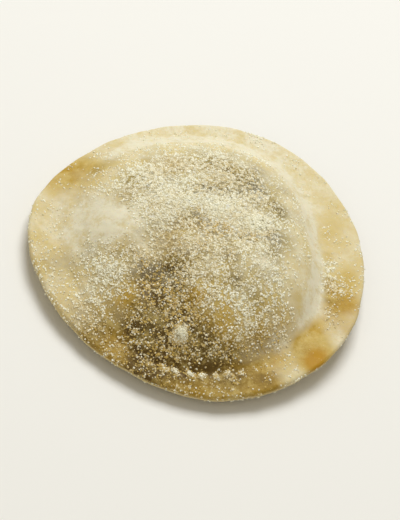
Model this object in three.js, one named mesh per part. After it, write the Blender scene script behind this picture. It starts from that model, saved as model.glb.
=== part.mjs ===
// A round filled pasta parcel: two sheets of egg dough sealed round a mound of filling, lying flat
// with its domed side up. It is one solid, because the sheets are pressed into one at the rim and
// shut the filling in. Millimetres, +Z up, with the origin on the table under the outline's middle.

import * as THREE from "three";
import { mergeVertices } from "three/addons/utils/BufferGeometryUtils.js";

// Driving dimensions
const CUT_DIAMETER = 65; // of the cutter that stamps the parcel out
const DOME_DIAMETER = 52.6; // of the mound of filling, at its foot
const DOME_HEIGHT = 10; // of the mound above the rim
const RIM_THICKNESS = 2.2; // two sheets of dough, pressed together
const RIM_CLEARANCE = 2.6; // of the rim's underside above the table

// The mound sits a little off the middle, so that the rim is wider on one side.
const DOME_CENTRE = new THREE.Vector2(-1.8, 0.5);
const DOME_FULLNESS = 3.6; // exponent of the dome's curve: 2 is a paraboloid, more is a fuller pillow
const FOOT_FILLET = 2.5; // height over which the dome eases into the rim
const BELLY_DEPTH = 6; // how far the mound would bulge below the rim, if the table didn't stop it
const BELLY_FULLNESS = 2; // exponent of the belly's curve
const BELLY_FILLET = 1.2; // height over which the belly eases into its flat
const RIM_STIFFNESS = 1.5; // exponent with which the rim's waves grow towards the cut edge

// Soft dough is never quite round or flat: each wave adds swell * cos(lobes * (angle - at)).
const FULLNESS_WAVES = [{ lobes: 1, swell: 0.9, at: 0 }];
const FILLET_WAVES = [{ lobes: 1, swell: 1.1, at: 165 }];
const OUTLINE_WAVES = [
  { lobes: 3, swell: 0.88, at: -51 },
  { lobes: 4, swell: 0.27, at: 2 },
  { lobes: 7, swell: 0.12, at: 30 },
];
const FOOT_WAVES = [
  { lobes: 1, swell: 0.4, at: -45 },
  { lobes: 2, swell: 1.55, at: -72 },
  { lobes: 3, swell: 0.5, at: 56 },
  { lobes: 4, swell: 0.6, at: -19 },
];
const RIM_WAVES = [
  { lobes: 1, swell: 0.75, at: 40 },
  { lobes: 2, swell: 0.4, at: 5 },
  { lobes: 3, swell: 0.4, at: 95 },
  { lobes: 5, swell: 0.2, at: 50 },
];

// Swells and dips that the lumpy filling pushes up in the dome: place, radius and height.
const LUMPS = [
  { x: 8.5, y: -7, radius: 10, height: 1.3 },
  { x: -17.5, y: -5.5, radius: 8, height: 1.2 },
  { x: -8.5, y: 1.5, radius: 3.5, height: 0.9 },
  { x: -3, y: 6, radius: 3.5, height: 0.6 },
  { x: 4.5, y: 5, radius: 3.5, height: 0.6 },
  { x: 10, y: 3, radius: 3.5, height: 0.8 },
  { x: -1.5, y: -0.5, radius: 3, height: -1 },
  { x: 3.4, y: -2.4, radius: 2.5, height: -0.8 },
  { x: 8, y: -3, radius: 2.2, height: -0.5 },
  { x: -9.5, y: -8, radius: 3.6, height: -1.9 },
  { x: -7, y: -13.5, radius: 3.8, height: -2.8 },
  { x: -3.8, y: -20, radius: 3.6, height: -2.2 },
  { x: 15, y: -16, radius: 5, height: -0.5 },
  { x: -14, y: 14, radius: 7, height: -0.6 },
];
const LUMP_FADE = 4; // exponent with which the lumps die away towards the foot

// The bead of dough that the press pushes up at the foot: it is all but gone on the left.
const RIDGE_HEIGHT = 0.55;
const RIDGE_PLACE = 0.2; // out from the foot
const RIDGE_WIDTH = 1.2;
const RIDGE_SHARE = 0.6; // of that height, taken all round
const RIDGE_WAVES = [{ lobes: 1, swell: 0.4, at: 40 }];

// The press leaves a shallow groove round the foot, notched like the edge of a coin. It bites
// hard at the front and hardly at all at the back.
const GROOVE_PLACE = 0.16; // share of the rim's width, from the foot
const GROOVE_WIDTH = 0.14;
const GROOVE_DEPTH = 0.35;
const CRIMPS = 72;
const CRIMP_PLACE = 0.26;
const CRIMP_WIDTH = 0.16;
const CRIMP_HEIGHT = 0.16;
const BITE = 0.35; // share of those depths that is left, taken all round
const BITE_WAVES = [
  { lobes: 1, swell: 0.5, at: -85 },
  { lobes: 3, swell: 0.3, at: 30 },
  { lobes: 5, swell: 0.2, at: 70 },
];
const LEAST_BITE = 0.1;
const MOST_BITE = 1.3;
const RIM_THINNING = 0.25; // share of the thickness that the rim loses towards its cut edge

// How finely the surface is divided: two spokes for each crimp, its crest and its trough.
const SPOKES = 2 * CRIMPS;
const DOME_RINGS = 18;
const RIM_RINGS = 8;
const BELLY_RINGS = 5;
const UNDER_RIM_RINGS = 2;
const EDGE_STEPS = 4;
const EDGE_ROUNDING = 0.1; // share of the rim's width that the rounded cut edge takes
const WELD_DISTANCE = 1e-4;

const CUT_RADIUS = CUT_DIAMETER / 2;
const DOME_RADIUS = DOME_DIAMETER / 2;
const RIM_MIDDLE = RIM_CLEARANCE + RIM_THICKNESS / 2;

const sumOfWaves = (waves, angle) =>
  waves.reduce((sum, { lobes, swell, at }) => {
    const turned = angle - THREE.MathUtils.degToRad(at);
    return sum + swell * Math.cos(lobes * turned);
  }, 0);

// The larger of two heights, rounded over a fillet where they cross.
function blendedMax(a, b, fillet) {
  const closeness = Math.max(fillet - Math.abs(a - b), 0) / fillet;
  return Math.max(a, b) + (closeness * closeness * fillet) / 4;
}

const bell = (distance, width) => Math.exp(-((distance / width) ** 2));

function footPoint(angle) {
  const radius = DOME_RADIUS + sumOfWaves(FOOT_WAVES, angle);
  return new THREE.Vector2(radius, 0).rotateAround(new THREE.Vector2(), angle).add(DOME_CENTRE);
}

function cutEdgePoint(angle) {
  const radius = CUT_RADIUS + sumOfWaves(OUTLINE_WAVES, angle);
  return new THREE.Vector2(radius, 0).rotateAround(new THREE.Vector2(), angle);
}

// Height of the domed sheet above the rim, at a point of the face and its distance past the foot,
// which is below 0 on the dome.
function domeRise(pastFoot, angle, point) {
  const distance = 1 + pastFoot / DOME_RADIUS;
  const fullness = DOME_FULLNESS + sumOfWaves(FULLNESS_WAVES, angle);
  const fillet = FOOT_FILLET + sumOfWaves(FILLET_WAVES, angle);
  const ridge = RIDGE_HEIGHT * (RIDGE_SHARE + sumOfWaves(RIDGE_WAVES, angle));
  const mound = DOME_HEIGHT * (1 - distance ** fullness);
  const leftOver = Math.max(1 - distance ** LUMP_FADE, 0);
  const lumps = LUMPS.reduce(
    (sum, { x, y, radius, height }) => sum + height * bell(Math.hypot(point.x - x, point.y - y), radius),
    0,
  );
  const rise = blendedMax(mound + lumps * leftOver, 0, fillet);
  return rise + ridge * bell(pastFoot - RIDGE_PLACE, RIDGE_WIDTH);
}

// Height of the rim's middle over the table. The rim is stiff at the foot and wavy at its cut edge.
function rimHeight(across, angle) {
  return RIM_MIDDLE + sumOfWaves(RIM_WAVES, angle) * across ** RIM_STIFFNESS;
}

// What the press takes off the rim's upper face, and what its notches leave standing.
function pressedRelief(across, angle) {
  const bite = THREE.MathUtils.clamp(BITE + sumOfWaves(BITE_WAVES, angle), LEAST_BITE, MOST_BITE);
  const groove = GROOVE_DEPTH * bell(across - GROOVE_PLACE, GROOVE_WIDTH);
  const crimp = CRIMP_HEIGHT * Math.cos(CRIMPS * angle) * bell(across - CRIMP_PLACE, CRIMP_WIDTH);
  return bite * (crimp - groove);
}

// A point of the parcel's skin. Reach runs from 0 at the crown to 1 at the dome's foot and 2 at
// the cut edge, and side from 1 on the domed face to -1 on the underside.
function skinPoint(reach, angle, side) {
  const share = Math.min(reach, 1);
  const across = Math.max(reach - 1, 0);
  const foot = footPoint(angle);
  const cutEdge = cutEdgePoint(angle);
  const place = reach < 1 ? DOME_CENTRE.clone().lerp(foot, share) : foot.clone().lerp(cutEdge, across);

  const halfThickness = (RIM_THICKNESS / 2) * (1 - RIM_THINNING * across);
  let height = rimHeight(across, angle) + side * halfThickness;
  if (side > 0) {
    const pastFoot = reach < 1 ? (reach - 1) * DOME_RADIUS : across * foot.distanceTo(cutEdge);
    const relief = reach > 1 ? pressedRelief(across, angle) : 0;
    height += side * (domeRise(pastFoot, angle, place) + relief);
  } else {
    const belly = BELLY_DEPTH * (1 - share ** BELLY_FULLNESS);
    height = blendedMax(height - belly, 0, BELLY_FILLET);
  }
  return new THREE.Vector3(place.x, place.y, height);
}

// The half section that the lathe turns, as reach and side, from the underside's middle out round
// the cut edge and back over the dome to its crown.
function sectionPoints() {
  const points = [];
  const eased = (step, steps) => Math.sin(((step / steps) * Math.PI) / 2);
  const edgeStart = 2 - EDGE_ROUNDING;

  for (let i = 0; i < BELLY_RINGS; i += 1) {
    points.push(new THREE.Vector2(eased(i, BELLY_RINGS), -1));
  }
  for (let i = 0; i < UNDER_RIM_RINGS; i += 1) {
    points.push(new THREE.Vector2(1 + (i / UNDER_RIM_RINGS) * (1 - EDGE_ROUNDING), -1));
  }
  for (let i = 0; i <= EDGE_STEPS; i += 1) {
    const turn = (i / EDGE_STEPS - 0.5) * Math.PI;
    points.push(new THREE.Vector2(edgeStart + EDGE_ROUNDING * Math.cos(turn), Math.sin(turn)));
  }
  for (let i = RIM_RINGS - 1; i >= 0; i -= 1) {
    points.push(new THREE.Vector2(1 + (i / RIM_RINGS) * (1 - EDGE_ROUNDING), 1));
  }
  for (let i = DOME_RINGS - 1; i >= 0; i -= 1) {
    points.push(new THREE.Vector2(eased(i, DOME_RINGS), 1));
  }
  return points;
}

function parcelGeometry() {
  const turned = new THREE.LatheGeometry(sectionPoints(), SPOKES);
  turned.rotateX(Math.PI / 2);
  const position = turned.getAttribute("position");
  for (let i = 0; i < position.count; i += 1) {
    const reach = Math.hypot(position.getX(i), position.getY(i));
    const angle = Math.atan2(position.getY(i), position.getX(i));
    const point = skinPoint(reach, angle, position.getZ(i));
    position.setXYZ(i, point.x, point.y, point.z);
  }

  // Only the places count from here on, so that the seam and the two poles weld shut.
  turned.deleteAttribute("normal");
  turned.deleteAttribute("uv");
  const welded = mergeVertices(turned, WELD_DISTANCE);
  welded.computeBoundingBox();
  const middle = welded.boundingBox.getCenter(new THREE.Vector3());
  welded.translate(-middle.x, -middle.y, -welded.boundingBox.min.z);
  return welded;
}

const dough = new THREE.MeshStandardMaterial({ color: 0xe0cf9c, roughness: 0.85, metalness: 0 });

const parcel = new THREE.Mesh(parcelGeometry(), dough);
parcel.name = "ravioli";

const ravioli = new THREE.Group();
ravioli.add(parcel);

export default ravioli;
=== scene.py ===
import math

import bpy
import numpy as np
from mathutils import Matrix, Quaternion, Vector


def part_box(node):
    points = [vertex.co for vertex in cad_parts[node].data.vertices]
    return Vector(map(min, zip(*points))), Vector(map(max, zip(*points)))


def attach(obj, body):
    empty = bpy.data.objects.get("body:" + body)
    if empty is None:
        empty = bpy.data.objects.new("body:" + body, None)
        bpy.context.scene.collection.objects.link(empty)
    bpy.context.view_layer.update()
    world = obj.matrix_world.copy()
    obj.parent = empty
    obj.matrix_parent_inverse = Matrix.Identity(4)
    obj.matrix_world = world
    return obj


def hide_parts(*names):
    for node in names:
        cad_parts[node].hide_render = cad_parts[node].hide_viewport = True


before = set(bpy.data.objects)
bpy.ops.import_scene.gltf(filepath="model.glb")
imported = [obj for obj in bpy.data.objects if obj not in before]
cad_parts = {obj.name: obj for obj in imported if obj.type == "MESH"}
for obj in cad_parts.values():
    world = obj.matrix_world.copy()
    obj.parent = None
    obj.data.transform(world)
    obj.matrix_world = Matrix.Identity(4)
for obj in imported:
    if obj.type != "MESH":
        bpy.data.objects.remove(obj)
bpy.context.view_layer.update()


# The parcel: two sheets of egg dough laid round a mound of filling, pressed together by a
# notched stamp that also cuts them out. It lies on the flat that its own weight gives its
# belly, with the rim dipping and lifting as soft dough does.
MM = 0.001
CUT_RADIUS = 32.5
DOME_RADIUS = 26.3
DOME_CENTRE = (-1.8, 0.5)
DOME_HEIGHT = 10.0
DOME_FULLNESS = 3.6  # exponent of its curve: 2 is a paraboloid, more is a fuller pillow
LUMP_REACH = 4  # exponent: the more, the nearer to the foot the lumps go on
FOOT_FILLET = 2.5  # height over which the dome eases into the rim
RIM_THICKNESS = 2.2
RIM_THINNING = 0.25
RIM_MIDDLE = 3.7  # height over the table
RIM_LOOSENING = 1.5  # exponent: the more, the nearer to the cut edge it waves
BELLY_DEPTH = 6.0
BELLY_FILLET = 1.2
EDGE_ROUNDING = 0.1

# Each wave adds swell * cos(lobes * (angle - at)), in mm and degrees: (lobes, swell, at).
OUTLINE_WAVES = [(3, 0.88, -51), (4, 0.27, 2), (7, 0.12, 30), (17, 0.06, 11), (29, 0.05, 4)]
FOOT_WAVES = [(1, 0.4, -45), (2, 1.55, -72), (3, 0.5, 56), (4, 0.6, -19), (13, 0.08, 9)]
FULLNESS_WAVES = [(1, 0.9, 0)]
FILLET_WAVES = [(1, 1.1, 165)]
RIM_WAVES = [(1, 0.75, 40), (2, 0.4, 5), (3, 0.4, 95), (5, 0.2, 50), (9, 0.07, 21)]

# Soft ripples left by rolling and handling the dough: (length, height, seed) in mm.
DOME_RIPPLES = [(9, 0.22, 1), (4, 0.08, 2)]
SKIN_RIPPLES = [(1.7, 0.035, 3)]
BELLY_RIPPLES = [(3, 0.05, 4)]

# Swells and dips that the lumpy filling pushes up in the dome: (x, y, radius, height) in mm.
LUMPS = [
    (8.5, -7, 10, 1.3),
    (-17.5, -5.5, 8, 1.2),
    (-8.5, 1.5, 3.5, 0.9),
    (-3, 6, 3.5, 0.6),
    (4.5, 5, 3.5, 0.6),
    (10, 3, 3.5, 0.8),
    (-1.5, -0.5, 3, -1.0),
    (3.4, -2.4, 2.5, -0.8),
    (8, -3, 2.2, -0.5),
    (-9.5, -8, 3.6, -1.9),
    (-7, -13.5, 3.8, -2.8),
    (-3.8, -20, 3.6, -2.2),
    (0.4, -23.6, 1.8, 0.9),
    (15, -16, 5, -0.5),
    (-14, 14, 7, -0.6),
]

# What the stamp leaves: a groove round the foot, notched like the edge of a coin, with a bead
# of dough beside it. Places and widths of the groove and notches are shares of the rim's width.
GROOVE_PLACE = 0.16
GROOVE_WIDTH = 0.14
GROOVE_DEPTH = 0.35
CRIMPS = 72
CRIMP_HEIGHT = 0.16
CRIMP_PLACE = 0.26
CRIMP_WIDTH = 0.16
FIRMNESS = 0.35  # of the stamp's press, which deepens the groove and notches in places
FIRMNESS_WAVES = [(1, 0.5, -85), (3, 0.3, 30), (5, 0.2, 70)]
FIRMNESS_LIMITS = (0.1, 1.3)
RIDGE_HEIGHT = 0.55  # of the rounded bead of dough that the stamp pushes up
RIDGE_PLACE = 0.2
RIDGE_WIDTH = 1.2
RIDGE_SHARE = 0.6  # of that height, all round; its waves are shares too
RIDGE_WAVES = [(1, 0.4, 40)]
SEAM_DEPTH = 0.22  # of the line between the two sheets, in the cut edge
SEAM_WIDTH = 0.22  # share of half the edge's thickness
SEAM_WAVES = [(4, 0.3, 10), (11, 0.25, 3)]

SPOKES = 480
RINGS = {"belly": 40, "under rim": 14, "edge": 13, "rim": 36, "dome": 90}


def wave_sum(waves, angle):
    return sum(swell * np.cos(lobes * (angle - math.radians(at))) for lobes, swell, at in waves)


def blended_max(a, b, fillet):
    closeness = np.maximum(fillet - np.abs(a - b), 0) / fillet
    return np.maximum(a, b) + closeness**2 * fillet / 4


def bell(distance, width):
    return np.exp(-((distance / width) ** 2))


def swells(x, y, length, seed, trains=28, spread=(0.7, 1.5)):
    """Soft random swells, mostly between -1 and 1, whose crests lie about a length apart."""
    draw = np.random.default_rng(seed)
    swell = np.zeros_like(x)
    for _ in range(trains):
        heading, phase = draw.uniform(0, 2 * math.pi, 2)
        pitch = length * draw.uniform(*spread)
        along = x * math.cos(heading) + y * math.sin(heading)
        swell += np.cos(2 * math.pi * along / pitch + phase)
    return swell / math.sqrt(trains)


def ripples(kinds, x, y):
    return sum(height * swells(x, y, length, seed) for length, height, seed in kinds)


def patches(places, x, y):
    """Round soft patches added up, each given as (x, y, radius, amount)."""
    return sum(amount * bell(np.hypot(x - px, y - py), radius) for px, py, radius, amount in places)


def rim_sides(angle):
    """The dome's foot and the cut edge, seen from above."""
    foot = DOME_RADIUS + wave_sum(FOOT_WAVES, angle)
    cut = CUT_RADIUS + wave_sum(OUTLINE_WAVES, angle)
    towards = np.array([np.cos(angle), np.sin(angle)])
    middle = np.array(DOME_CENTRE).reshape(2, *[1] * angle.ndim)
    return middle + foot * towards, cut * towards


def sheet_point(reach, angle):
    """Place seen from above, from the crown at reach 0 by the dome's foot at 1 to the cut edge at 2."""
    foot, cut = rim_sides(angle)
    middle = np.array(DOME_CENTRE).reshape(2, *[1] * angle.ndim)
    return middle + (foot - middle) * np.minimum(reach, 1) + (cut - foot) * np.maximum(reach - 1, 0)


def domed_face(reach, angle, x, y):
    """Height of the upper sheet over the pressed dough under it, in mm."""
    across = np.maximum(reach - 1, 0)
    foot, cut = rim_sides(angle)
    past_foot = (reach - 1) * np.where(reach < 1, DOME_RADIUS, np.hypot(*(cut - foot)))
    distance = 1 + past_foot / DOME_RADIUS
    fullness = DOME_FULLNESS + wave_sum(FULLNESS_WAVES, angle)
    mound = DOME_HEIGHT * (1 - distance**fullness)
    eased_off = np.maximum(1 - distance**LUMP_REACH, 0)
    lumps = patches(LUMPS, x, y) + ripples(DOME_RIPPLES, x, y)
    rise = blended_max(mound + lumps * eased_off, 0, FOOT_FILLET + wave_sum(FILLET_WAVES, angle))
    firmness = np.clip(FIRMNESS + wave_sum(FIRMNESS_WAVES, angle), *FIRMNESS_LIMITS)
    groove = GROOVE_DEPTH * firmness * bell(across - GROOVE_PLACE, GROOVE_WIDTH) * (reach > 1)
    ridge = RIDGE_HEIGHT * bell(past_foot - RIDGE_PLACE, RIDGE_WIDTH)
    ridge *= RIDGE_SHARE + wave_sum(RIDGE_WAVES, angle)
    crimp = CRIMP_HEIGHT * firmness * np.cos(CRIMPS * angle) * bell(across - CRIMP_PLACE, CRIMP_WIDTH)
    crimp *= reach > 1
    return rise + ridge + crimp - groove + ripples(SKIN_RIPPLES, x, y)


def parcel_skin(reach, angle, side):
    """Points of the skin in mm. Side runs from 1 on the domed face to -1 on the underside."""
    across = np.maximum(reach - 1, 0)
    share = np.minimum(reach, 1)
    seam = SEAM_DEPTH * bell(side, SEAM_WIDTH) * (1 + wave_sum(SEAM_WAVES, angle))
    x, y = sheet_point(reach, angle)
    x -= seam * np.cos(angle)
    y -= seam * np.sin(angle)
    middle = RIM_MIDDLE + wave_sum(RIM_WAVES, angle) * across**RIM_LOOSENING
    height = middle + side * (RIM_THICKNESS / 2) * (1 - RIM_THINNING * across)
    upper = height + np.clip(side, 0, 1) * domed_face(reach, angle, x, y)
    sag = BELLY_DEPTH * (1 - share**2) + ripples(BELLY_RIPPLES, x, y)
    lower = blended_max(height - sag, 0, BELLY_FILLET)
    return np.stack([x, y, np.where(side > 0, upper, lower)], axis=-1)


def ring_places():
    """Reach and side of each ring, from the underside's middle round the cut edge to the crown."""
    inner_edge = 2 - EDGE_ROUNDING
    belly = [(r, -1.0) for r in np.linspace(0, 1, RINGS["belly"], endpoint=False)[1:]]
    under = [(r, -1.0) for r in np.linspace(1, inner_edge, RINGS["under rim"], endpoint=False)]
    turns = np.linspace(-math.pi / 2, math.pi / 2, RINGS["edge"])
    edge = [(inner_edge + EDGE_ROUNDING * math.cos(turn), math.sin(turn)) for turn in turns]
    rim = [(r, 1.0) for r in np.linspace(inner_edge, 1, RINGS["rim"], endpoint=False)[1:]]
    dome = [(r, 1.0) for r in np.linspace(1, 0, RINGS["dome"], endpoint=False)]
    return np.array(belly + under + edge + rim + dome)


rings = ring_places()
angles = np.linspace(0, 2 * math.pi, SPOKES, endpoint=False)
reach_grid, angle_grid = np.meshgrid(rings[:, 0], angles, indexing="ij")
side_grid = np.meshgrid(rings[:, 1], angles, indexing="ij")[0]
poles = np.array([[0.0], [0.0]])
skin = parcel_skin(reach_grid, angle_grid, side_grid).reshape(-1, 3)
pole_points = parcel_skin(poles, poles, np.array([[-1.0], [1.0]])).reshape(-1, 3)
points = np.concatenate([skin, pole_points])

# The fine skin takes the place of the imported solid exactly: same box, same rest on the table.
low, high = (np.array(corner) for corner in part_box("ravioli"))
own_low, own_high = points.min(axis=0), points.max(axis=0)
stretch = (high - low) / (own_high - own_low)
placed = low + (points - own_low) * stretch

ring, spoke = np.meshgrid(np.arange(len(rings) - 1), np.arange(SPOKES), indexing="ij")
after = (spoke + 1) % SPOKES
here = ring * SPOKES
quads = np.stack([here + spoke, here + after, here + SPOKES + after, here + SPOKES + spoke], axis=-1)
under_pole, crown = len(skin), len(skin) + 1
around = np.arange(SPOKES)
following = (around + 1) % SPOKES
last = (len(rings) - 1) * SPOKES
faces = quads.reshape(-1, 4).tolist()
faces += [[under_pole, int(b), int(a)] for a, b in zip(around, following)]
faces += [[crown, int(last + a), int(last + b)] for a, b in zip(around, following)]

dough_mesh = bpy.data.meshes.new("dough")
dough_mesh.from_pydata(placed.tolist(), [], faces)
dough_mesh.polygons.foreach_set("use_smooth", np.ones(len(dough_mesh.polygons), dtype=bool))
raviolo = bpy.data.objects.new("ravioli_dough", dough_mesh)
bpy.context.collection.objects.link(raviolo)

# Where flour lies in grains and as a film, where the dough is bare and damp or orange with yolk,
# and where the dark filling shows through it: (x, y, radius, amount) in mm. The film patches are
# also painted light in places, and the bare and filling patches also painted shade.
GRAIN_PATCHES = [
    (-9.8, -2, 2.4, 0.9),
    (-8.2, 1.6, 2, 0.6),
    (-3, 3.9, 2, 0.5),
    (0.6, 2.5, 2.2, 0.6),
    (5, 1.6, 2.4, 0.6),
    (4.4, 4.6, 2.4, 0.3),
    (8.9, 1.5, 2.2, 1.6),
    (14.5, 1, 3, -0.25),
    (-11.5, 11, 4, 0.2),
    (6, 14, 7, -0.15),
    (-15.4, 5.1, 4, 0.2),
    (0, 11, 8, 0.15),
    (9, -7, 6, 0.1),
    (-17, -20, 4, 0.15),
    (0.4, -23.8, 1.3, 1.8),
    (24.6, 6, 1.6, 0.4),
    (27, 1, 3, 0.35),
    (24.7, 3.2, 1.5, 0.35),
    (25.6, 0.7, 1.6, 0.45),
    (26.6, -5.6, 1.6, 0.35),
    (-18.5, -4.5, 5.5, -0.6),
    (8.5, -12, 4, -0.3),
    (-7.5, -13, 3.2, -0.3),
    (-5, -23, 3, -0.3),
    (5, -24, 4, -0.35),
    (-12.5, -6.2, 2.5, -0.3),
    (20.5, -8, 3.5, -0.3),
    (16, -17.3, 4, -0.1),
    (11.5, -7, 2.5, -0.3),
    (-11, -20.5, 3.4, -0.4),
    (26.2, -17, 4, -0.6),
    (14, -25, 4, -0.2),
]
# The film patches are flour rubbed smooth, and also painted light: those on the dome's left lobe, on its
# right-hand slope and at the head of the valley lighten slopes that the light leaves dark, and those that
# take film away on the upper-left and front rim paint shade there.
FILM_AND_LIGHT_PATCHES = [
    (-19.5, -6.5, 6, 0.8),
    (-14, -3.5, 4, 0.5),
    (-16.5, 1.5, 3.2, -0.25),
    (-22, 1, 6, 0.3),
    (0, 8, 9, 0.15),
    (-9, 6, 5, 0.25),
    (26, -7, 6, -0.3),
    (-12, -5, 5, 0.15),
    (28, -10, 2.5, 0.4),
    (-0.3, -6, 2.4, 0.35),
    (2, 1, 4, 0.4),
    (1, -11, 2.2, 0.3),
    (11.5, -7, 2.5, 0.5),
    (23, -10.5, 3, -0.3),
    (0, 27, 10, 0.12),
    (5, 1.5, 2.4, 0.7),
    (-3, 3.7, 2, 0.6),
    (-9.7, -1.8, 2.5, 0.75),
    (-5.8, 4.5, 1.4, -0.3),
    (21.5, -3, 3.5, 0.3),
    (22.5, 16, 4, -0.25),
    (21.5, -15.5, 3.5, -0.2),
    (-8.5, -9.5, 2.5, 0.4),
    (22, 17, 5, -0.25),
    (-15.5, -18, 4, 0.2),
    (20, -9, 4, 0.25),
    (11, -17, 5, 0.2),
    (9, -7, 6, 0.2),
    (8.9, 1.3, 2.2, 0.9),
    (-8.2, 1.6, 2, 0.4),
    (0.6, 2.5, 2, 0.6),
    (0, 14, 5, -0.15),
    (20, -13.5, 3.5, -0.2),
    (-12.5, 1, 3.5, 0.3),
    (0.4, -23.8, 1.5, 0.9),
    (24.5, -12, 3, -0.4),
    (-27, -13, 5, -0.25),
    (22.8, -22.9, 2.5, 0.5),
    (-24, -19, 6, 0.3),
    (-29, 10, 8, -0.8),
    (26.4, -17, 3.5, -1.0),
    (28.5, 5, 9, -0.35),
    (29.3, -3, 5, -0.3),
    (18, -24.5, 4, -0.3),
    (4, -28, 12, -0.4),
    (22, 13, 1.6, -0.2),
    (23.7, 7.8, 1.6, -0.45),
    (24.5, 1.4, 1.8, -0.5),
    (26.6, 1, 2.5, -0.3),
    (28.8, 0.2, 2.5, -0.3),
]
# Bare damp dough, ochre where no flour is, and painted shade with it: the patches on the front rim and
# the large one on the upper-left rim darken and warm the dough where shadow falls.
BARE_AND_SHADE_PATCHES = [
    (26.2, -17.2, 2.1, 1.2),
    (28, -5, 4, 0.5),
    (25, -3, 5, 0.2),
    (29.8, -5.9, 4, 0.7),
    (24.5, -11.5, 2.5, 0.2),
    (22.5, 15, 4, 0.2),
    (17, -19.5, 3.5, 0.4),
    (-27, 3, 5, 0.05),
    (-7, -7, 3, 0.35),
    (-9.5, -17, 3, 0.15),
    (-22, 0, 6, 0.15),
    (23, -10.5, 3, 0.35),
    (9, -23, 5, 0.15),
    (-29, 10, 7, 0.62),
    (1, -17.5, 1.5, 0.7),
    (27, 8, 9, 0.1),
    (-22, -18, 3, -0.2),
    (-9.6, -28.4, 4, 0.5),
    (3, -30.5, 7, 0.6),
    (17.7, -25.6, 4, 0.6),
    (14.5, -23.8, 2.5, 0.4),
    (2, -24, 8, 0.2),
    (16, -17.3, 4.5, 0.4),
    (-10.7, -20.5, 4, 0.35),
    (-10.4, 14.1, 3.5, 0.5),
    (12.7, 9.4, 3, 0.1),
    (0, 14, 5, 0.2),
    (-16.5, 1.5, 3.2, 0.25),
    (19.5, -13.5, 3.5, 0.25),
    (22.8, -22.9, 3.5, -0.3),
    (22, 13, 1.6, 0.1),
    (23.7, 7.8, 1.6, 0.2),
    (25.5, 1.2, 2.2, 0.35),
    (28.5, -0.5, 3, 0.35),
]
YOLK_PATCHES = [
    (25.9, -18.4, 1.6, 1.5),
    (26.2, -16.4, 1.7, 1.1),
    (29.5, -3.5, 2.5, 0.2),
    (-9.6, -28.4, 2.0, 0.3),
]
# The dark filling that shows through the thin dough, and painted shade with it: the rows of small patches
# under the arc and down the fold paint the shade in those creases, and those along the front foot, the
# front rim and the lower left paint shadow.
FILLING_AND_SHADE_PATCHES = [
    (-8, -14.3, 2.8, 0.8),
    (-5.5, -16.5, 3.4, 0.75),
    (-3, -21, 3.4, 0.75),
    (4, -26, 4, 0.5),
    (0.8, -27, 3, 0.6),
    (7, -25.5, 5, 0.7),
    (-5, -26.5, 3.5, 0.6),
    (13, -22, 3.5, 0.5),
    (-3, 1.4, 1.2, 0.5),
    (-1, -0.3, 1.2, 0.4),
    (1.2, -1.2, 1.2, 0.45),
    (3.4, -2, 1.2, 0.55),
    (6, -2.3, 1.2, 0.55),
    (8.6, -1.6, 1.2, 0.5),
    (10.8, -0.4, 1.2, 0.45),
    (12.8, 0.7, 1.3, 0.2),
    (19.5, -13.5, 3.5, -0.35),
    (5.5, -7, 1.3, 0.2),
    (6.7, -9, 1.3, 0.15),
    (7.8, -11.3, 1.3, 0.2),
    (8, -8.5, 3.5, -0.2),
    (8, 15, 6, 0.15),
    (-12, -20, 4, -0.4),
    (-15, -11, 4, -0.25),
    (2, 1, 4, 0.2),
    (6, 14, 6, 0.15),
    (10, -22, 4, -0.6),
    (-14, -24.8, 3.5, 0.35),
    (21.5, -15.5, 3.5, 0.3),
    (-24, -13, 4, 0.45),
    (-3, -31, 4, 0.7),
    (2, -29.5, 3, 0.25),
    (11.5, -26, 2.6, 0.3),
    (5.5, -21, 3, -0.3),
    (-9.4, 11.6, 3.5, -0.3),
    (8.5, -13.5, 2.5, 0.35),
    (14.5, -13.5, 3, -0.25),
    (-9, -6, 5, -0.3),
    (25.5, -7, 6, 0.15),
    (-12.5, -11, 3, 0.3),
    (-6.5, -23.5, 3, 0.35),
    (-9, -26.5, 3, -0.15),
    (-15.5, -25.5, 4, 0.35),
    (-18, -22, 3.5, 0.45),
    (-6, -29.5, 5, 0.5),
    (18, -25, 3.5, 0.4),
    (13, -27, 3, 0.3),
    (-19.5, -6.5, 6, -0.35),
    (-15, -18, 5, -0.5),
    (-8, -9, 3, -0.25),
    (8.5, -17.5, 4, -0.6),
    (14.5, -18.5, 4, -0.4),
    (3, -15, 4, -0.4),
    (20, -9, 5, -0.4),
    (9, -7, 6, -0.2),
    (24.5, 1.5, 1.8, 0.3),
    (24, 6, 1.5, 0.2),
    (25.8, -2.5, 1.8, 0.3),
]


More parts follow.
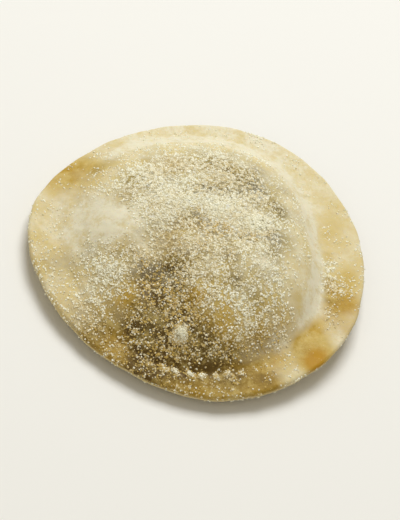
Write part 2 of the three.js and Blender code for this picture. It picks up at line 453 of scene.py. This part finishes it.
# Each layer's amount in every zone of the skin, before its ripples and patches are added. Most is
# its limit, underneath its amount on the underside, and only_on the zone that it keeps to. The
# zones also paint light and shade: more bare dough and filling and less film on the front, away
# from the window, are painted shade, and more film on the dome's sides, far side and shoulder is
# flour and painted light.
LAYERS = {
    "grains": {
        "zones": {
            "all": 0.56,
            "rim": -0.5,
            "front rim": 0.25,
            "dome side": -0.4,
            "shoulder": -0.3,
            "beads": 1.6,
        },
        "ripples": [(7, 0.1, 11)],
        "patches": GRAIN_PATCHES,
        "most": 2,
        "underneath": 0.12,
        "only_on": "all",
    },
    # Flour film, and painted light on the dome's sides and shoulder.
    "film_and_light": {
        "zones": {
            "all": 0.05,
            "rim": 0.65,
            "front rim": -0.7,
            "dome side": 0.5,
            "shoulder": 1.2,
            "beads": 0.8,
        },
        "ripples": [(6, 0.12, 14)],
        "patches": FILM_AND_LIGHT_PATCHES,
        "most": 1,
        "underneath": 0.35,
        "only_on": "all",
    },
    # Bare dough, and painted warm shade: its front share darkens the side away from the window.
    "bare_and_shade": {
        "zones": {"all": 0.1, "front": 0.3, "front rim": 0.2},
        "ripples": [(12, 0.08, 12)],
        "patches": BARE_AND_SHADE_PATCHES,
        "most": 1,
        "underneath": 0.3,
        "only_on": "all",
    },
    # The filling's layer is also painted shade, on the front of the dome, in its creases and on the front
    # rim.
    "filling": {
        "zones": {"all": 0.61, "dome side": -0.61},
        "ripples": [(6, 0.15, 13)],
        "patches": FILLING_AND_SHADE_PATCHES,
        "most": 1,
        "underneath": 0.2,
        "only_on": "dome",
    },
    "yolk": {
        "zones": {},
        "ripples": [],
        "patches": YOLK_PATCHES,
        "most": 1,
        "underneath": 0,
        "only_on": "all",
    },
}
# The zones, with headings in degrees and places in mm past the dome's foot. The shoulder is the
# pale band round the dome's far side, flour and painted light, and the beads are the notches in
# front that caught flour.
FRONT, LEFT = -98, 170
RIM_BEGINS, RIM_BEGINS_ON_LEFT = -1, -4
RIM_IS_FULL, RIM_IS_FULL_ON_LEFT = 0.5, -0.5
SHOULDER_HEADING, SHOULDER_SPREAD = 40, 0.35
SHOULDER_PLACE, SHOULDER_WIDTH = -0.9, 1.5
BEADS_HEADING, BEADS_SPREAD = -77, 17
BEADS_PLACE, BEADS_WIDTH = 1.8, 0.6
BEAD_FLOUR, BEAD_NOTCHING = 0.55, 0.45
BEAD_RIPPLES = [(3, 0.3, 15)]
SIDE_FACES_AWAY_FROM = -95
SIDE_BEGINS_AT, SIDE_IS_FULL_AT = 0.6, 0.2  # cosine of the angle from that heading
SIDE_REACH = (0.55, 0.8)  # shares of the way from the crown to the foot
LOWEST_SIDE = -0.2  # of the cut edge that still counts as the upper skin


def rising(value, start, full):
    """0 up to the start, 1 from full on, and even in between."""
    return np.clip((value - start) / (full - start), 0, 1)


def facing(angle, heading, spread=0.0):
    """1 towards a heading, falling to 0 at a right angle to it, or further round with more spread."""
    return np.clip(np.cos(angle - math.radians(heading)) + spread, 0, 1)


all_reach = np.concatenate([reach_grid.ravel(), [0, 0]])
all_side = np.concatenate([side_grid.ravel(), [-1, 1]])
all_angle = np.concatenate([angle_grid.ravel(), [0, 0]])
x_mm, y_mm = points[:, 0], points[:, 1]
on_top = all_side > LOWEST_SIDE
foot_place, cut_place = rim_sides(all_angle)
rim_width = np.hypot(*(cut_place - foot_place))
past_foot = (all_reach - 1) * np.where(all_reach < 1, DOME_RADIUS, rim_width)

in_front = facing(all_angle, FRONT)
on_left = facing(all_angle, LEFT)
on_rim = rising(
    past_foot,
    RIM_BEGINS + (RIM_BEGINS_ON_LEFT - RIM_BEGINS) * on_left,
    RIM_IS_FULL + (RIM_IS_FULL_ON_LEFT - RIM_IS_FULL) * on_left,
)
from_beads = np.angle(np.exp(1j * (all_angle - math.radians(BEADS_HEADING))))
beads = BEAD_FLOUR + BEAD_NOTCHING * np.cos(CRIMPS * all_angle) + ripples(BEAD_RIPPLES, x_mm, y_mm)
beads *= bell(past_foot - BEADS_PLACE, BEADS_WIDTH) * bell(from_beads, math.radians(BEADS_SPREAD))
shoulder = bell(past_foot - SHOULDER_PLACE, SHOULDER_WIDTH)
shoulder *= facing(all_angle, SHOULDER_HEADING, SHOULDER_SPREAD)
towards_front = np.cos(all_angle - math.radians(SIDE_FACES_AWAY_FROM))
dome_side = rising(towards_front, SIDE_BEGINS_AT, SIDE_IS_FULL_AT) * rising(all_reach, *SIDE_REACH)
dome_side *= 1 - on_rim
zones = {
    "all": 1.0,
    "front": in_front,
    "rim": on_rim,
    "front rim": on_rim * in_front,
    "dome": 1 - on_rim,
    "dome side": dome_side,
    "shoulder": shoulder,
    "beads": beads,
}

amounts_on_skin = {}
for name, layer in LAYERS.items():
    kept_to = zones[layer["only_on"]]
    amount = sum(share * zones[zone] for zone, share in layer["zones"].items())
    amount = (amount + ripples(layer["ripples"], x_mm, y_mm)) * kept_to
    amount = np.clip(amount + patches(layer["patches"], x_mm, y_mm), 0, layer["most"])
    amounts_on_skin[name] = np.where(on_top, amount, layer["underneath"] * kept_to)
    attribute = dough_mesh.attributes.new(name, "FLOAT", "POINT")
    attribute.data.foreach_set("value", amounts_on_skin[name].astype(np.float32))


def linear(red, green, blue):
    """A screen colour, 0 to 255, as the shader's linear colour."""
    return tuple(((c / 255 + 0.055) / 1.055) ** 2.4 for c in (red, green, blue)) + (1.0,)


def new_material(name):
    material = bpy.data.materials.new(name)
    material.use_nodes = True
    tree = material.node_tree
    return material, tree, tree.nodes["Principled BSDF"]


def wire(tree, kind, inputs=None, **settings):
    """Adds a node, sets its properties and fills its inputs with values or other nodes' outputs."""
    node = tree.nodes.new(kind)
    for name, value in settings.items():
        setattr(node, name, value)
    for key, value in (inputs or {}).items():
        if isinstance(value, bpy.types.NodeSocket):
            tree.links.new(value, node.inputs[key])
        else:
            node.inputs[key].default_value = value
    return node


def product(tree, first, second):
    """Two values multiplied, and kept between 0 and 1."""
    node = wire(tree, "ShaderNodeMath", {0: first, 1: second}, operation="MULTIPLY", use_clamp=True)
    return node.outputs[0]


def blend_colours(tree, factor, under, over):
    """The colour under, covered by the colour over where the factor is 1."""
    mix = wire(tree, "ShaderNodeMix", data_type="RGBA")
    for socket, value in zip((mix.inputs["Factor"], mix.inputs[6], mix.inputs[7]), (factor, under, over)):
        if isinstance(value, bpy.types.NodeSocket):
            tree.links.new(value, socket)
        else:
            socket.default_value = value
    return mix.outputs[2]


SPECK_EDGE = 0.07  # how softly a speck of dust fades out, in the range of the noise that makes it


def flour_dust_group():
    """Fine flour, caught in specks on a rough skin: how much shows at each point, and its height."""
    group = bpy.data.node_groups.new("flour dust", "ShaderNodeTree")
    amount = group.interface.new_socket("Amount", in_out="INPUT", socket_type="NodeSocketFloat")
    amount.default_value = 0.5
    size = group.interface.new_socket("Speck Size", in_out="INPUT", socket_type="NodeSocketFloat")
    size.default_value = 0.0004
    group.interface.new_socket("Cover", in_out="OUTPUT", socket_type="NodeSocketFloat")
    group.interface.new_socket("Height", in_out="OUTPUT", socket_type="NodeSocketFloat")
    start = group.nodes.new("NodeGroupInput")
    end = group.nodes.new("NodeGroupOutput")
    place = wire(group, "ShaderNodeTexCoord").outputs["Object"]
    specks_per_metre = wire(
        group, "ShaderNodeMath", {0: 1.0, 1: start.outputs["Speck Size"]}, operation="DIVIDE"
    )
    specks = wire(
        group,
        "ShaderNodeTexNoise",
        {"Vector": place, "Scale": specks_per_metre.outputs[0], "Detail": 2.0, "Roughness": 0.6},
    )
    lacking = wire(group, "ShaderNodeMath", {0: 1.0, 1: start.outputs["Amount"]}, operation="SUBTRACT")
    threshold = wire(
        group,
        "ShaderNodeMapRange",
        {"Value": lacking.outputs[0], "To Min": 0.44, "To Max": 0.68},
    )
    full = wire(group, "ShaderNodeMath", {0: threshold.outputs[0], 1: SPECK_EDGE}, operation="ADD")
    cover = wire(
        group,
        "ShaderNodeMapRange",
        {
            "Value": specks.outputs[0],
            "From Min": threshold.outputs[0],
            "From Max": full.outputs[0],
        },
        interpolation_type="SMOOTHSTEP",
    )
    group.links.new(cover.outputs[0], end.inputs["Cover"])
    group.links.new(cover.outputs[0], end.inputs["Height"])
    return group


flour_dust = flour_dust_group()
CREAM_DOUGH = linear(212, 191, 126)
# The ochre of bare dough, which is also the colour of the painted warm shade on the front.
BARE_DOUGH_AND_PAINTED_SHADE = linear(182, 146, 50)
YOLK_GOLD = linear(184, 138, 28)
# The filling's dark tone, dry and damp, which is also the colour of the painted shade.
FILLING_AND_PAINTED_SHADE = linear(88, 76, 40)
DAMP_FILLING_AND_PAINTED_SHADE = linear(94, 70, 16)
# The flour film's cream, which is also the colour of the painted light.
FLOUR_FILM_AND_PAINTED_LIGHT = linear(229, 221, 194)
FLOUR_WHITE = linear(240, 239, 226)
# The grains' damp tint, which is also painted warm shade on grains in shaded places.
DAMP_WHEAT_AND_PAINTED_SHADE = linear(202, 173, 96)

dough_material, tree, skin_shader = new_material("egg dough")
place = wire(tree, "ShaderNodeTexCoord").outputs["Object"]
amounts = {
    name: wire(tree, "ShaderNodeAttribute", attribute_name=name).outputs["Fac"]
    for name in LAYERS
}
mottle = wire(
    tree, "ShaderNodeTexNoise", {"Vector": place, "Scale": 260.0, "Detail": 5.0, "Roughness": 0.9}
)
mottled = wire(
    tree,
    "ShaderNodeMapRange",
    {"Value": mottle.outputs[0], "From Min": 0.35, "From Max": 0.65, "To Min": 0.3, "To Max": 1.6},
).outputs[0]
bare_and_shade = product(tree, amounts["bare_and_shade"], mottled)
filling = product(tree, amounts["filling"], mottled)
film_and_light = product(tree, amounts["film_and_light"], mottled)
dust = wire(
    tree, "ShaderNodeGroup", {"Amount": amounts["grains"], "Speck Size": 0.0006}, node_tree=flour_dust
)
# Bare ochre dough, and painted warm shade on the front and on the upper-left rim.
colour = blend_colours(tree, bare_and_shade, CREAM_DOUGH, BARE_DOUGH_AND_PAINTED_SHADE)
colour = blend_colours(tree, amounts["yolk"], colour, YOLK_GOLD)
# The filling's dark tone, and painted shade in the creases and on the front.
filling_and_shade_tone = blend_colours(tree, bare_and_shade, FILLING_AND_PAINTED_SHADE, DAMP_FILLING_AND_PAINTED_SHADE)
colour = blend_colours(tree, filling, colour, filling_and_shade_tone)
# Flour film, and painted light on slopes that the light leaves dark.
colour = blend_colours(tree, film_and_light, colour, FLOUR_FILM_AND_PAINTED_LIGHT)
dusting = blend_colours(tree, bare_and_shade, FLOUR_WHITE, DAMP_WHEAT_AND_PAINTED_SHADE)
colour = blend_colours(tree, dust.outputs["Cover"], colour, dusting)
tree.links.new(colour, skin_shader.inputs["Base Color"])
rough = wire(tree, "ShaderNodeMapRange", {"Value": bare_and_shade, "To Min": 0.85, "To Max": 0.6})
tree.links.new(rough.outputs[0], skin_shader.inputs["Roughness"])
pores = wire(
    tree, "ShaderNodeTexNoise", {"Vector": place, "Scale": 1400.0, "Detail": 3.0, "Roughness": 0.6}
)
relief = wire(tree, "ShaderNodeMath", {0: pores.outputs[0], 1: dust.outputs["Height"]}, operation="ADD")
bump = wire(tree, "ShaderNodeBump", {"Strength": 0.5, "Distance": 0.00012, "Height": relief.outputs[0]})
tree.links.new(bump.outputs[0], skin_shader.inputs["Normal"])
skin_shader.inputs["Specular IOR Level"].default_value = 0.3
skin_shader.inputs["Subsurface Weight"].default_value = 0.15
skin_shader.inputs["Subsurface Radius"].default_value = (1.0, 0.7, 0.35)
skin_shader.inputs["Subsurface Scale"].default_value = 0.002
dough_mesh.materials.append(dough_material)

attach(raviolo, "root")
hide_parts("ravioli")


# The semolina: coarse pale grains that the finished parcels are tossed in, so that they don't
# stick together. Each is an angular chip of durum wheat, 0.3 to 0.6 mm across, half sunk in the
# soft skin. The finer flour is the same wheat, milled to a dust of 0.1 to 0.2 mm. Sizes in mm.
COARSE_GRAINS = 23000
COARSE_SIZE = (0.34, 0.62)
FINE_GRAINS = 12000
FINE_SIZE = (0.1, 0.2)
PILE_HEIGHT = 0.3  # of a little heap, where flour lies thickest
TABLE_CLEARANCE = 1.0  # height over the table under which no grain lies
CLUMP_LENGTH = 1.4  # between the little clumps that the grains gather in
CLUMPING, CLUMP_MEAN, CLUMP_LIMITS = 0.9, 0.7, (0.05, 2.2)
STRAY = 0.15  # how far a grain lies from its place in the skin's mesh, as a rule
CORNER_REACH = (0.7, 1.15)  # of a chip, as shares of half its width
CHIP_PROPORTIONS = (0.7, 1.2)
# The damp tint of the grains follows the bare dough and the filling, so it is also painted warm shade
# wherever those paint shade.
SOAKING = 0.9  # how far the moist filling under the dough wets the grains
SOAKED_THROUGH = 0.5  # amount of filling from which it does
DRY_DEPTH = 1.8  # amount of flour that stays dry on top

face_count = len(dough_mesh.polygons)
face_centres = np.empty(face_count * 3, dtype=np.float32)
face_normals = np.empty(face_count * 3, dtype=np.float32)
face_areas = np.empty(face_count, dtype=np.float32)
dough_mesh.polygons.foreach_get("center", face_centres)
dough_mesh.polygons.foreach_get("normal", face_normals)
dough_mesh.polygons.foreach_get("area", face_areas)
face_centres = face_centres.reshape(-1, 3)
face_normals = face_normals.reshape(-1, 3)
flour = amounts_on_skin["grains"]
wetness_and_shade = amounts_on_skin["bare_and_shade"] + SOAKING * (amounts_on_skin["filling"] - SOAKED_THROUGH)
dampness_and_shade = np.clip(wetness_and_shade, 0, 1) * np.clip(DRY_DEPTH - flour, 0, 1)
first_corners = [face[0] for face in faces]
face_flour = flour[first_corners]
face_damp_and_shade = dampness_and_shade[first_corners]
clear_of_table = face_centres[:, 2] > low[2] + TABLE_CLEARANCE * MM


def scattered(shape_points, shape_faces, count, size, leaning, seed):
    """Copies of one small shape on the dough, more of them where there is more flour.

    The more leaning, the more they keep to where it lies thick. Also says how damp each lies, a
    dampness that also paints warm shade where the dough under it is painted shade.
    """
    draw = np.random.default_rng(seed)
    gathering = swells(face_centres[:, 0] / MM, face_centres[:, 1] / MM, CLUMP_LENGTH, seed)
    clumps = np.clip(CLUMP_MEAN + CLUMPING * gathering, *CLUMP_LIMITS)
    odds = face_areas * face_flour**leaning * clumps * clear_of_table
    chosen = draw.choice(face_count, count, p=odds / odds.sum())
    widths = draw.uniform(*size, count) * MM
    jitter = draw.normal(0, STRAY * MM, (count, 3))
    normals = face_normals[chosen]
    jitter -= normals * (jitter * normals).sum(axis=1, keepdims=True)
    piled = np.clip(face_flour[chosen] - 1, 0, 1) * draw.uniform(0, PILE_HEIGHT * MM, count)
    middles = face_centres[chosen] + jitter + normals * piled[:, None]
    turns = draw.normal(0, 1, (count, 4))
    turns /= np.linalg.norm(turns, axis=1, keepdims=True)
    w, x, y, z = turns.T
    rotations = np.stack(
        [
            np.stack([1 - 2 * (y * y + z * z), 2 * (x * y - z * w), 2 * (x * z + y * w)], axis=-1),
            np.stack([2 * (x * y + z * w), 1 - 2 * (x * x + z * z), 2 * (y * z - x * w)], axis=-1),
            np.stack([2 * (x * z - y * w), 2 * (y * z + x * w), 1 - 2 * (x * x + y * y)], axis=-1),
        ],
        axis=1,
    )
    stretched = shape_points[None] * draw.uniform(*CORNER_REACH, (count, len(shape_points), 1))
    stretched = stretched * draw.uniform(*CHIP_PROPORTIONS, (count, 1, 3)) * (widths / 2)[:, None, None]
    turned = np.einsum("nij,nkj->nki", rotations, stretched) + middles[:, None]
    starts = (np.arange(count) * len(shape_points))[:, None, None]
    damp_and_shade = np.repeat(face_damp_and_shade[chosen], len(shape_points))
    return turned.reshape(-1, 3), (shape_faces[None] + starts).reshape(-1, 3), damp_and_shade


def chip_shape():
    """An octahedron, one unit from its middle to each corner."""
    corners = np.array([(1, 0, 0), (-1, 0, 0), (0, 1, 0), (0, -1, 0), (0, 0, 1), (0, 0, -1)], dtype=float)
    triangles = [(0, 2, 4), (2, 1, 4), (1, 3, 4), (3, 0, 4), (2, 0, 5), (1, 2, 5), (3, 1, 5), (0, 3, 5)]
    return corners, np.array(triangles)


PALEST = 1.15  # times the wheat's colour, from the palest chip to the yellowest
YELLOWEST = (0.93, 0.87, 0.7)


def wheat_material(name, colour, roughness):
    """Pale chips that differ a little from one to the next."""
    material, tree, shader = new_material(name)
    island = wire(tree, "ShaderNodeNewGeometry").outputs["Random Per Island"]
    paler = tuple(min(c * PALEST, 1) for c in colour[:3]) + (1.0,)
    yellower = tuple(c * share for c, share in zip(colour[:3], YELLOWEST)) + (1.0,)
    dry = blend_colours(tree, island, yellower, paler)
    # Damp grains take the damp wheat's colour, which is also painted warm shade on grains in shade.
    damp_and_shade = wire(tree, "ShaderNodeAttribute", attribute_name="damp_and_shade").outputs["Fac"]
    uneven = wire(tree, "ShaderNodeMapRange", {"Value": island, "To Min": 1.5, "To Max": 0.1})
    soaked_and_shaded = product(tree, damp_and_shade, uneven.outputs[0])
    tree.links.new(blend_colours(tree, soaked_and_shaded, dry, DAMP_WHEAT_AND_PAINTED_SHADE), shader.inputs["Base Color"])
    shader.inputs["Roughness"].default_value = roughness
    shader.inputs["Specular IOR Level"].default_value = 0.3
    return material


def grain_piece(name, count, size, leaning, seed, material):
    grain_points, grain_faces, damp_and_shade = scattered(*chip_shape(), count, size, leaning, seed)
    mesh = bpy.data.meshes.new(name)
    mesh.from_pydata(grain_points.tolist(), [], grain_faces.tolist())
    layer = mesh.attributes.new("damp_and_shade", "FLOAT", "POINT")
    layer.data.foreach_set("value", damp_and_shade.astype(np.float32))
    mesh.materials.append(material)
    piece = bpy.data.objects.new(name, mesh)
    bpy.context.collection.objects.link(piece)
    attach(piece, "root")


semolina = wheat_material("semolina", FLOUR_WHITE, 0.7)
fine_flour = wheat_material("fine flour", FLOUR_WHITE, 0.9)
grain_piece("semolina_grains", COARSE_GRAINS, COARSE_SIZE, leaning=1.6, seed=21, material=semolina)
grain_piece("flour_specks", FINE_GRAINS, FINE_SIZE, leaning=1.2, seed=22, material=fine_flour)


# The table: a plain pale floor, much larger than the parcel, that its shadow falls on.
HALF_FLOOR = 1.5
FLOOR_WHITE = linear(240, 238, 234)
floor_mesh = bpy.data.meshes.new("floor")
floor_corners = [(x * HALF_FLOOR, y * HALF_FLOOR, 0) for x, y in ((-1, -1), (1, -1), (1, 1), (-1, 1))]
floor_mesh.from_pydata(floor_corners, [], [(0, 1, 2, 3)])
floor_material, tree, floor_shader = new_material("pale floor")
floor_shader.inputs["Base Color"].default_value = FLOOR_WHITE
floor_shader.inputs["Roughness"].default_value = 0.9
floor_mesh.materials.append(floor_material)
floor = bpy.data.objects.new("floor", floor_mesh)
bpy.context.collection.objects.link(floor)


# The light: a large soft window behind and to the right, a weak one in front, and a pale room.
MIDDLE = Vector((0, 0, 0.006))


def soft_light(name, azimuth, elevation, distance, width, power, colour):
    """A square soft light aimed at the parcel. Azimuth 0 is at the camera's side and 90 to the right."""
    data = bpy.data.lights.new(name, "AREA")
    data.size = width
    data.energy = power
    data.color = colour
    a, e = math.radians(azimuth), math.radians(elevation)
    away = Vector((math.sin(a) * math.cos(e), -math.cos(a) * math.cos(e), math.sin(e)))
    light = bpy.data.objects.new(name, data)
    light.location = MIDDLE + away * distance
    light.rotation_mode = "QUATERNION"
    light.rotation_quaternion = away.to_track_quat("Z", "Y")
    bpy.context.collection.objects.link(light)


DAYLIGHT = (0.98, 1, 1)
WARMTH = (1, 0.89, 0.58)
soft_light("window", azimuth=182, elevation=60, distance=0.9, width=0.45, power=6.5, colour=DAYLIGHT)
soft_light("front_fill", azimuth=-20, elevation=45, distance=1, width=0.8, power=1.1, colour=WARMTH)
world = bpy.data.worlds.new("pale room")
world.use_nodes = True
world.node_tree.nodes["Background"].inputs["Color"].default_value = (1, 0.97, 0.88, 1)
world.node_tree.nodes["Background"].inputs["Strength"].default_value = 0.33
bpy.context.scene.world = world
bpy.context.scene.view_settings.view_transform = "Standard"


# The camera: it looks down on the parcel at the photograph's angle, turned so that the parcel
# leans to the right as it does there, with a long lens from a normal viewing distance.
ELEVATION = 50.3
ROLL = 16.6
LENS = 200
FRAME_WIDTH = 0.0762  # of what the frame takes in at the parcel
IMAGE_SIZE = (400, 520)
AIM = Vector((0.0009, -0.0036, 0.006))

camera_data = bpy.data.cameras.new("camera")
camera_data.lens = LENS
frame_height = FRAME_WIDTH * IMAGE_SIZE[1] / IMAGE_SIZE[0]
distance = frame_height * LENS / camera_data.sensor_width
tilt = math.radians(ELEVATION)
back = Vector((0, -math.cos(tilt), math.sin(tilt)))
camera = bpy.data.objects.new("camera", camera_data)
camera.location = AIM + back * distance
camera.rotation_mode = "QUATERNION"
camera.rotation_quaternion = back.to_track_quat("Z", "Y") @ Quaternion((0, 0, 1), math.radians(ROLL))
bpy.context.collection.objects.link(camera)
bpy.context.scene.camera = camera
